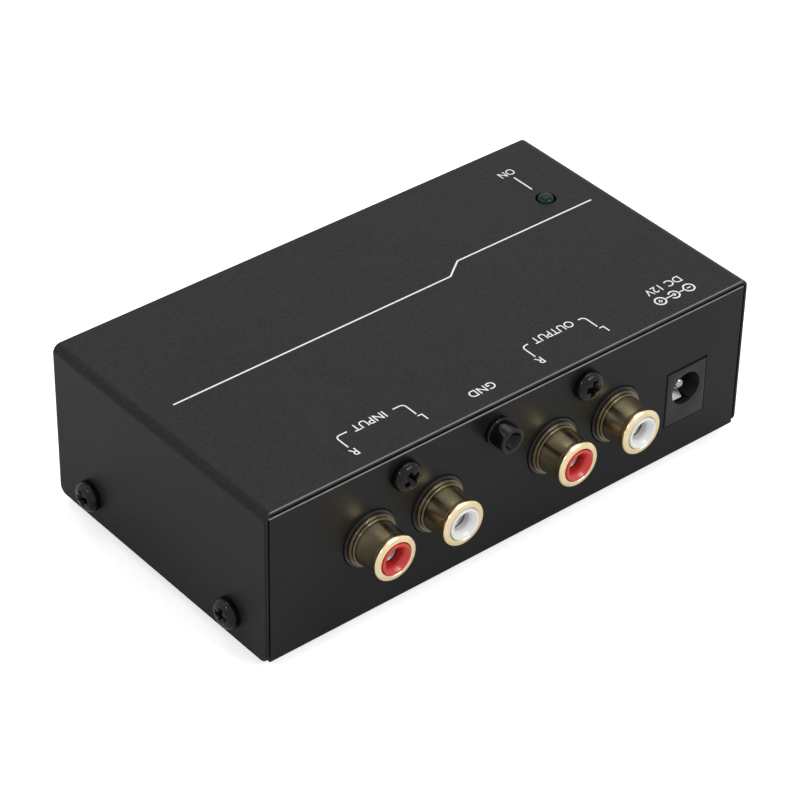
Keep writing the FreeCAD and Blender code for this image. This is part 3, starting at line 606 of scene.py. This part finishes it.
def makeScrewMesh(length):
    top = screw["height"]
    tip = screw["tip"]
    head = rounded([
        (screw["shank"], -tip),
        (screw["head"], 0, screw["underside"]),
        (screw["head"], top - screw["crown"], screw["shoulder"]),
        (0, top),
    ], screw["roundSteps"])
    thread = threadOutline(screw["shank"], screw["groove"], screw["pitch"], tip - length, -tip)
    outline = [(0, -length), (screw["shank"] - tip, -length)] + thread + head[1:]
    blank = asMesh(spun(outline, screw["sides"], closed=False), "screw")
    span = screw["recessSpan"] / 2
    width = screw["recessWidth"] / 2
    cutters = []
    cuts = []
    for x, y in ((span, width), (width, span)):
        work = bmesh.new()
        low = (-x, -y, top - screw["recessDepth"])
        addBlock(work, low, (x, y, top + screw["recessOver"]), screw["recessTaper"])
        bmesh.ops.recalc_face_normals(work, faces=work.faces)
        cutter = bpy.data.objects.new("cutter", asMesh(work, "cutter"))
        scene.collection.objects.link(cutter)
        cutters.append(cutter)
        cuts.append(("BOOLEAN", {"operation": "DIFFERENCE", "solver": "EXACT", "object": cutter}))
    mesh = modified(blank, cuts + [bevel(screw)])
    for cutter in cutters:
        bpy.data.objects.remove(cutter)
    return mesh


def makeScrews(run):
    low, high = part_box(run["node"])
    radius = screw["head"] * mm
    height = screw["height"] * mm
    if run["onEnds"]:
        ends = [(high.x - height, 1), (low.x + height, -1)]
        rows = (low.y + radius, high.y - radius)
        places = [((x, y, low.z + radius), (side, 0, 0)) for x, side in ends for y in rows]
    else:
        places = [((x, rearFace, low.z + radius), rearward) for x in (low.x + radius, high.x - radius)]
    pattern = makeScrewMesh(run["length"])
    copies = []
    for (place, axis), spin in zip(places, run["spins"]):
        copy = pattern.copy()
        copy.transform(facing(place, axis, spin))
        copies.append(copy)
    mesh = joined(copies, run["node"])
    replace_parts(finishPiece(mesh, f"{run['node']}_cross", "screw", sharpAngle=50), run["node"])


for run in screwRuns:
    makeScrews(run)
print("screws made")

# Ground post: collar, round body and a tapped hole. It is clinched in the panel, with its head inside.
post = dict(
    radius=2.4, reach=4.0, collar=2.65, collarReach=1.0, head=3.2, headThickness=1.0, panel=1.0,
    hole=1.3, thread=0.2, pitch=0.5, threadStart=0.3, holeDepth=3.9, lugHole=1.25, lugHoleDepth=3.0,
    edge=0.15, collarRound=0.25, neckDrop=0.08, neckRound=0.05, faceRound=0.28, countersink=0.34,
    mouthRound=0.06, sides=96,
)


def makePost():
    middle = middleOf("ground_post")
    lugReach = (lowOf("ground_post").y - rearFace) / mm
    inner = -post["panel"] - post["headThickness"]
    outline = rounded([
        (0, lugReach + post["lugHoleDepth"]),
        (post["lugHole"], lugReach + post["lugHoleDepth"]),
        (post["lugHole"], lugReach),
        (post["radius"], lugReach, post["edge"]),
        (post["radius"], inner),
        (post["head"], inner, post["edge"]),
        (post["head"], -post["panel"]),
        (post["radius"], -post["panel"]),
        (post["radius"], 0),
        (post["collar"], 0),
        (post["collar"], post["collarReach"], post["collarRound"]),
        (post["radius"], post["collarReach"] - post["neckDrop"], post["neckRound"]),
        (post["radius"], post["reach"], post["faceRound"]),
        (post["hole"] + post["countersink"], post["reach"], post["mouthRound"]),
    ])
    threadStart = post["reach"] - post["threadStart"]
    threadEnd = post["reach"] - post["holeDepth"]
    outline += threadOutline(post["hole"], -post["thread"], post["pitch"], threadStart, threadEnd)
    outline.append((0, threadEnd))
    place = facing((middle.x, rearFace, middle.z), rearward)
    mesh = asMesh(spun(outline, post["sides"], closed=False), "post", place)
    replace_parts(finishPiece(mesh, "ground_post_turned", "screw", sharpAngle=28), "ground_post")


makePost()
print("ground post made")

# The tray's folds, drawn up to the tight outer corner that its pressed sheet has
folds = dict(drawn=1.2, tight=0.4, slack=0.02)


def makeTray():
    work = bmesh.new()
    work.from_mesh(nodes["chassis_tray"].data)
    drawn = folds["drawn"] * mm
    tight = folds["tight"] * mm
    slack = folds["slack"] * mm
    corners = [(ySide, yFace, zSide, zFace) for ySide, yFace in ((1, trayHigh.y), (-1, trayLow.y))
               for zSide, zFace in ((1, trayHigh.z), (-1, trayLow.z))]
    for vertex in work.verts:
        for ySide, yFace, zSide, zFace in corners:
            across = (vertex.co.y - (yFace - ySide * drawn)) * ySide
            upward = (vertex.co.z - (zFace - zSide * drawn)) * zSide
            outside = across > -hair and upward > -hair
            if outside and abs(math.hypot(across, upward) - drawn) < slack:
                vertex.co.y = yFace + ySide * (across / drawn * tight - tight)
                vertex.co.z = zFace + zSide * (upward / drawn * tight - tight)
    mesh = asMesh(work, "chassis_tray_pressed")
    piece = finishPiece(mesh, "chassis_tray_pressed", "tray", sharpAngle=25)
    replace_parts(piece, "chassis_tray")


# The power socket's housing, with softened edges and its front face standing proud
jack = dict(edge=0.14, edgeSteps=3, proud=0.42, flatAngle=1)


def makeJack():
    work = bmesh.new()
    work.from_mesh(nodes["dc_jack_body"].data)
    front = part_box("dc_jack_body")[1].y
    for vertex in work.verts:
        if vertex.co.y > front - hair:
            vertex.co.y += jack["proud"] * mm
    bmesh.ops.remove_doubles(work, verts=work.verts, dist=samePoint)
    flat = math.radians(jack["flatAngle"])
    bmesh.ops.dissolve_limit(work, angle_limit=flat, verts=work.verts, edges=work.edges)
    mesh = modified(asMesh(work, "jack"), [bevel(jack)])
    piece = finishPiece(mesh, "dc_jack_body_moulded", "jack", sharpAngle=30)
    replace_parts(piece, "dc_jack_body")


makeTray()
makeJack()
print("tray and power socket made")

# White print on the cover. It reads from the front, so its lines run along X.
# Places are from the case's middle.
printing = dict(
    thickness=0.02, lift=0.004, capHeight=1.72, boldness=0.002, stroke=0.3, thin=0.24, ruleWidth=0.31,
    bracketWidth=0.26, bracketBend=0.8,
)
words = [
    dict(name="label_on", text="ON", at=(-41.1, -21.6), width=3.2),
    dict(name="label_power", text="DC 12V", at=(-38.9, 21.35), width=7.9),
    dict(name="label_output", text="OUTPUT", at=(-15.25, 19.8), width=8.7),
    dict(name="label_output_left", text="L", at=(-22.6, 24.5), width=1.0),
    dict(name="label_output_right", text="R", at=(-8.3, 24.5), width=1.28),
    dict(name="label_ground", text="GND", at=(4.43, 24.67), width=5.3),
    dict(name="label_input", text="INPUT", at=(24.25, 19.9), width=6.7),
    dict(name="label_input_left", text="L", at=(16.7, 24.4), width=1.0),
    dict(name="label_input_right", text="R", at=(31.06, 24.7), width=1.28),
]
# A bracket runs from beside the word to its corner, and on towards the socket's letter
brackets = [
    dict(name="bracket_output_left", start=-20.9, corner=-22.18, y=19.8, end=23.2),
    dict(name="bracket_output_right", start=-9.75, corner=-8.38, y=19.8, end=23.25),
    dict(name="bracket_input_left", start=19.2, corner=17.0, y=19.8, end=23.1),
    dict(name="bracket_input_right", start=28.7, corner=31.04, y=19.85, end=23.15),
]
onTick = [(-41.3, -19.8), (-41.3, -14.96)]
steppedRule = [(-47.3, -6.0), (-16.4, -6.0), (-12.4, -3.15), (46.1, -3.0)]
polarity = dict(
    y=24.35, plus=-35.55, tip=-38.67, minus=-42.1, ring=1.0, tipRing=0.98, gap=70, dot=0.36, sign=0.42,
    turn=359.9, steps=40,  # nearly a whole turn, so that a ring's ends stay apart
)


def onCover(x, y):
    return Vector((caseMiddle.x + x * mm, caseMiddle.y + y * mm, coverTop + printing["lift"] * mm))


def printWord(word):
    data = bpy.data.curves.new(word["name"], "FONT")
    data.body = word["text"]
    data.size = 1
    data.offset = printing["boldness"]
    holder = bpy.data.objects.new("holder", data)
    scene.collection.objects.link(holder)
    mesh = settled(holder)
    xs = [vertex.co.x for vertex in mesh.vertices]
    ys = [vertex.co.y for vertex in mesh.vertices]
    centre = Vector(((min(xs) + max(xs)) / 2, (min(ys) + max(ys)) / 2, 0))
    wide = word["width"] * mm / (max(xs) - min(xs))
    tall = printing["capHeight"] * mm / (max(ys) - min(ys))
    scale = Matrix.Diagonal((wide, tall, 1, 1))
    mesh.transform(Matrix.Translation(onCover(*word["at"])) @ scale @ Matrix.Translation(-centre))
    thicken(mesh, word["name"])


# Gives a flat, upward-facing mesh the thickness of the print
def thicken(flat, name):
    work = bmesh.new()
    work.from_mesh(flat)
    bmesh.ops.remove_doubles(work, verts=work.verts, dist=samePoint)
    top = bmesh.ops.extrude_face_region(work, geom=list(work.faces))["geom"]
    risen = [part for part in top if isinstance(part, bmesh.types.BMVert)]
    bmesh.ops.translate(work, verts=risen, vec=(0, 0, printing["thickness"] * mm))
    bmesh.ops.recalc_face_normals(work, faces=work.faces)
    finishPiece(asMesh(work, name), name, "print")


# A flat strip along a line of points, with mitred corners
def strip(points, width):
    left = []
    right = []
    count = len(points)
    for place, point in enumerate(points):
        here = Vector(point)
        before = (here - Vector(points[place - 1])).normalized() if place else None
        after = (Vector(points[place + 1]) - here).normalized() if place + 1 < count else None
        before = before or after
        after = after or before
        along = (before + after).normalized()
        side = Vector((-along.y, along.x)) * width / 2 / along.dot(before)
        left.append(here + side)
        right.append(here - side)
    mesh = bpy.data.meshes.new("strip")
    spots = [onCover(*spot) for spot in left + right]
    faces = [(step, count + step, count + step + 1, step + 1) for step in range(count - 1)]
    mesh.from_pydata(spots, [], faces)
    return mesh


# Points of an arc about a place on the polarity mark, from one angle to another in degrees
def arcPoints(x, radius, start=0.0, end=polarity["turn"]):
    points = []
    for step in range(polarity["steps"] + 1):
        turn = math.radians(start + (end - start) * step / polarity["steps"])
        points.append((x + radius * math.cos(turn), polarity["y"] + radius * math.sin(turn)))
    return points


# Minus ring, broken tip ring with its dot, and plus ring, with lines between them
def printPolarity():
    y = polarity["y"]
    plus = polarity["plus"]
    tip = polarity["tip"]
    minus = polarity["minus"]
    ring = polarity["ring"]
    tipRing = polarity["tipRing"]
    sign = polarity["sign"]
    dot = polarity["dot"]
    gap = polarity["gap"] / 2
    stroke = printing["stroke"]
    thin = printing["thin"]
    marks = [
        strip(arcPoints(plus, ring), stroke),
        strip(arcPoints(minus, ring), stroke),
        strip(arcPoints(tip, tipRing, gap, 360 - gap), stroke),
        strip(arcPoints(tip, dot / 2), dot),
        strip([(tip, y), (plus - ring, y)], thin),
        strip([(minus + ring, y), (tip - tipRing, y)], thin),
        strip([(minus - sign, y), (minus + sign, y)], thin),
        strip([(plus - sign, y), (plus + sign, y)], thin),
        strip([(plus, y - sign), (plus, y + sign)], thin),
    ]
    for place, mark in enumerate(marks):
        thicken(mark, f"polarity_mark_{place}")


def printBracket(bracket):
    points = rounded([
        (bracket["start"], bracket["y"]),
        (bracket["corner"], bracket["y"], printing["bracketBend"]),
        (bracket["corner"], bracket["end"]),
    ])
    thicken(strip(points, printing["bracketWidth"]), bracket["name"])


for word in words:
    printWord(word)
thicken(strip(onTick, printing["stroke"]), "tick_on")
thicken(strip(steppedRule, printing["ruleWidth"]), "stepped_rule")
for bracket in brackets:
    printBracket(bracket)
printPolarity()
print("print made:", len(words), "words,", len(brackets), "brackets")


# Camera at the photograph's place
camera = dict(
    at=(288.35, 336.47, 347.01), turn=(53.234, -0.91, 140.474), lens=146.48, sensor=36.0,
    near=0.01, far=20,
)


def makeCamera():
    data = bpy.data.cameras.new("camera")
    data.lens = camera["lens"]
    data.sensor_width = camera["sensor"]
    data.clip_start = camera["near"]
    data.clip_end = camera["far"]
    eye = bpy.data.objects.new("camera", data)
    eye.location = Vector(camera["at"]) * mm
    eye.rotation_euler = [math.radians(angle) for angle in camera["turn"]]
    scene.collection.objects.link(eye)
    scene.camera = eye


# Floor, pale surroundings, and soft lamps: one to each side of the camera and one overhead,
# with two small ones that put the glints on the lamp, the screws and the gold
studio = dict(floorSize=6.0, floorColor=(0.86, 0.86, 0.86), floorRoughness=0.9, world=0.5, background=0.6)
lamps = [
    dict(name="rearSide", bearing=118, height=38, distance=1.1, size=0.5, power=2.5),
    dict(name="endSide", bearing=-34, height=36, distance=1.1, size=0.5, power=0.6),
    dict(name="rearSpark", bearing=99, height=38, distance=1.1, size=0.14, power=1.8),
    dict(name="endSpark", bearing=0, height=38, distance=1.1, size=0.14, power=1.2),
    dict(name="overhead", bearing=229, height=72, distance=1.2, size=0.9, power=4.5),
]


# The floor takes the object's shadow, and glows for the camera alone
def makeStage():
    mesh = bpy.data.meshes.new("floor")
    half = studio["floorSize"] / 2
    corners = [(-half, -half, 0), (half, -half, 0), (half, half, 0), (-half, half, 0)]
    mesh.from_pydata(corners, [], [(0, 1, 2, 3)])
    floor = bpy.data.objects.new("floor", mesh)
    scene.collection.objects.link(floor)
    look = Finish("floorWhite", studio["floorColor"], studio["floorRoughness"], Specular_IOR_Level=0.0)
    seen = look.add("ShaderNodeLightPath", {}, {}, "Is Camera Ray")
    glow = look.add("ShaderNodeEmission", {}, {"Color": (1, 1, 1, 1), "Strength": studio["background"]})
    plain = Value(look, look.shader.outputs[0])
    both = look.add("ShaderNodeAddShader", {}, {0: glow, 1: plain})
    mix = look.add("ShaderNodeMixShader", {}, {0: seen, 1: plain, 2: both})
    look.tree.links.new(mix.socket, look.tree.nodes["Material Output"].inputs["Surface"])
    mesh.materials.append(look.material)


# The world lights the object plainly, and is white where the camera, a mirror or a clear surface sees it
def makeWorld():
    world = bpy.data.worlds.new("studio")
    world.use_nodes = True
    scene.world = world
    sky = world.node_tree.nodes["Background"]
    sky.inputs["Color"].default_value = (1, 1, 1, 1)
    maker = NodeMaker(world.node_tree)
    kinds = ("Is Camera Ray", "Is Glossy Ray", "Is Transmission Ray")
    direct, mirrored, cleared = [maker.add("ShaderNodeLightPath", {}, {}, kind) for kind in kinds]
    seen = direct.maths("MAXIMUM", mirrored).maths("MAXIMUM", cleared)
    strength = studio["world"] + seen * (1 - studio["world"])
    maker.tree.links.new(strength.socket, sky.inputs["Strength"])


def makeLamps():
    for lamp in lamps:
        data = bpy.data.lights.new(lamp["name"], "AREA")
        data.size = lamp["size"]
        data.energy = lamp["power"]
        light = bpy.data.objects.new(lamp["name"], data)
        turn = math.radians(lamp["bearing"])
        rise = math.radians(lamp["height"])
        aim = Vector((math.cos(rise) * math.cos(turn), math.cos(rise) * math.sin(turn), math.sin(rise)))
        light.location = aim * lamp["distance"]
        light.rotation_euler = (-aim).to_track_quat("-Z", "Y").to_euler()
        scene.collection.objects.link(light)


makeCamera()
makeStage()
makeWorld()
makeLamps()
print("camera, floor and lamps set")
